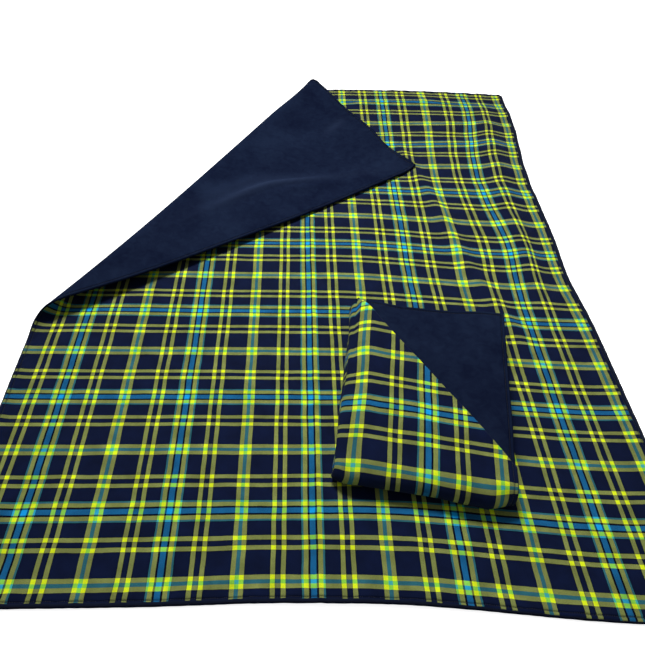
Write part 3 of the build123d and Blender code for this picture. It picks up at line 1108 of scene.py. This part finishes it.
def stitches(name, middles, ways, lay, sides):
    """Short plump stitches, each laid on the cloth; sides gives (surface height, outward) pairs."""
    points = stitch_points()
    left = np.stack([-ways[:, 1], ways[:, 0]], 1)
    vertices, polygons = [], []
    for surface, outward in sides:
        corners = []
        for along, aside, up in points:
            spots = middles + ways * along + left * aside
            height = np.full(len(spots), surface + outward * (up + STITCH_PROUD))
            corners.append(lay(spots[:, 0], spots[:, 1], height))
        first = sum(len(v) for v in vertices)
        vertices.append(np.stack(corners, 1).reshape(-1, 3))
        faces = [f if outward > 0 else f[::-1] for f in stitch_faces()]
        for i in range(len(middles)):
            start = first + len(points) * i
            polygons += [[start + k for k in f] for f in faces]
    return add_mesh(name, np.concatenate(vertices), polygons, THREAD)


FACE_SIDE = (float(face_top(np.array(STITCH_INSET))), 1)
FLEECE_SIDE = (float(backing_bottom(np.array(STITCH_INSET))), -1)
both_sides = (FACE_SIDE, FLEECE_SIDE)
hem_x = HALF_W - STITCH_INSET
hem_y = HALF_L - STITCH_INSET
middles, ways = hem_path(-hem_x, hem_x, -hem_y, hem_y)
on_corner = before_split(middles[:, 0], middles[:, 1])
spread_stitches = stitches(
    "spread_stitches", middles[~on_corner], ways[~on_corner], lay_open, (FACE_SIDE,)
)
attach(spread_stitches, "spread")
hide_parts("spread_topstitch")
corner_stitches = stitches(
    "corner_stitches", middles[on_corner], ways[on_corner], lay_open, both_sides
)
corner_blend(corner_stitches)
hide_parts("corner_topstitch")
middles, ways = hem_path(
    STITCH_INSET, WIDE_ENDS[-1] - STITCH_INSET, STITCH_INSET, LONG_ENDS[-1] - STITCH_INSET
)
for name, low, high, moves in BUNDLE_PARTS:
    here = run_test(low, high)(middles[:, 0], middles[:, 1])
    piece = stitches(f"{name}_stitches", middles[here], ways[here], lay_folded, both_sides)
    bundle_moves(piece, moves)
    if name == "upper_cover":
        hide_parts("upper_topstitch")

# ---------------------------------------------------------------- ground, light and camera
FLOOR_SIZE = 30
CAMERA_PLACE = (-0.0661, -1.4646, 1.2036)  # fitted to the plaid's crossings
CAMERA_TURN = (44.5465, -2.1636, -1.5592)
LENS = 35.925

bpy.ops.mesh.primitive_plane_add(size=FLOOR_SIZE, location=(0, 4, 0))
ground = bpy.context.object
ground.name = "ground"
ground.data.materials.append(ground_material())
ground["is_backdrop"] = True

scene = bpy.context.scene
scene.view_settings.view_transform = "Standard"
world = bpy.data.worlds.new("studio")
scene.world = world
world.use_nodes = True
world.node_tree.nodes["Background"].inputs["Color"].default_value = (1, 1, 1, 1)
world.node_tree.nodes["Background"].inputs["Strength"].default_value = 0.18


def softbox(name, place, aim, size, power, spread):
    """A round lamp; the narrower its spread, the more the light falls off round its aim."""
    lamp = bpy.data.lights.new(name, "AREA")
    lamp.shape = "DISK"
    lamp.size = size
    lamp.energy = power
    lamp.spread = math.radians(spread)
    lamp_object = bpy.data.objects.new(name, lamp)
    bpy.context.collection.objects.link(lamp_object)
    lamp_object.location = place
    lamp_object.rotation_euler = (Vector(aim) - Vector(place)).to_track_quat("-Z", "Y").to_euler()


softbox("key_light", (-0.8, 2.8, 5.2), (0.1, 0.05, 0), size=2.2, power=30, spread=45)

camera = bpy.data.objects.new("camera", bpy.data.cameras.new("camera"))
bpy.context.collection.objects.link(camera)
camera.location = CAMERA_PLACE
camera.rotation_euler = tuple(math.radians(angle) for angle in CAMERA_TURN)
camera.data.lens = LENS
camera.data.sensor_width = 36.0
camera.data.clip_end = 100
scene.camera = camera

low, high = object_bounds()
